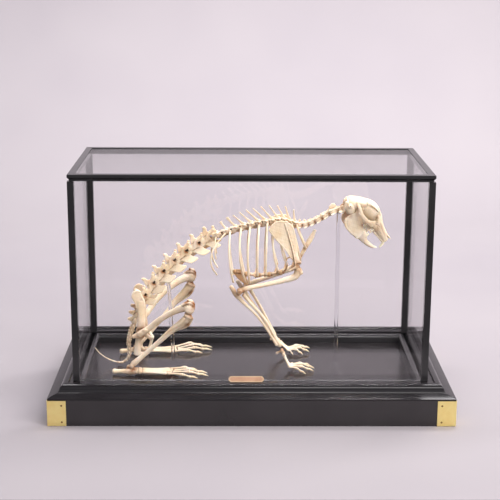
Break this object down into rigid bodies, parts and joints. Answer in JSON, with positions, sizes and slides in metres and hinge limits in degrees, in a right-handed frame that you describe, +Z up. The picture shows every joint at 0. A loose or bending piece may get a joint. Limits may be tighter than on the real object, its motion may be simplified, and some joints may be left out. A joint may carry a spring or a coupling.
{
  "type": "mounted hare skeleton in a glass case",
  "caption": "Mounted skeleton of a hare, standing on a black moulded plinth with brass corners, held by clear rods inside a black-framed glass case.",
  "frame": {"origin": "middle of the plinth's underside", "axes": "+X along the case towards the animal's head, +Y towards the animal's left side, away from the picture's camera, +Z up"},
  "size_m": [0.6, 0.322, 0.3668],
  "materials": {
    "bone": "dry cleaned bone, cream with tan stains at the joints",
    "black_wood": "black satin lacquer on wood",
    "black_frame": "black satin framing",
    "brass": "polished brass with light tarnish",
    "copper_brass": "dull reddish brass, bare",
    "clear_rod": "clear acrylic rod",
    "glass": "clear flat glass"
  },
  "bodies": {
    "root": {"mandible": "bone", "skull": "bone", "neck_vertebrae": "bone", "chest_vertebrae": "bone", "ribs_right": "bone", "ribs_left": "bone", "breastbone": "bone", "loin_vertebrae": "bone", "sacrum": "bone", "tail_vertebrae": "bone", "pelvis": "bone", "femur_right": "bone", "kneecap_right": "bone", "tibia_right": "bone", "tarsus_right": "bone", "hind_foot_right": "bone", "femur_left": "bone", "kneecap_left": "bone", "tibia_left": "bone", "tarsus_left": "bone", "hind_foot_left": "bone", "scapula_right": "bone", "humerus_right": "bone", "ulna_right": "bone", "radius_right": "bone", "forefoot_right": "bone", "scapula_left": "bone", "humerus_left": "bone", "ulna_left": "bone", "radius_left": "bone", "forefoot_left": "bone", "rod_front": "clear_rod", "rod_rear": "clear_rod", "plinth": "black_wood", "moulding_front": "black_wood", "inner_bead_front": "black_wood", "top_rail_front": "black_frame", "moulding_right": "black_wood", "inner_bead_right": "black_wood", "top_rail_right": "black_frame", "moulding_back": "black_wood", "inner_bead_back": "black_wood", "top_rail_back": "black_frame", "moulding_left": "black_wood", "inner_bead_left": "black_wood", "top_rail_left": "black_frame", "glass_front": "glass", "glass_back": "glass", "glass_left": "glass", "glass_right": "glass", "glass_top": "glass", "post_front_left": "black_frame", "brass_corner_front_left": "brass", "post_front_right": "black_frame", "brass_corner_front_right": "brass", "post_back_left": "black_frame", "brass_corner_back_left": "brass", "post_back_right": "black_frame", "brass_corner_back_right": "brass", "plaque": "copper_brass"}
  },
  "joints": []
}
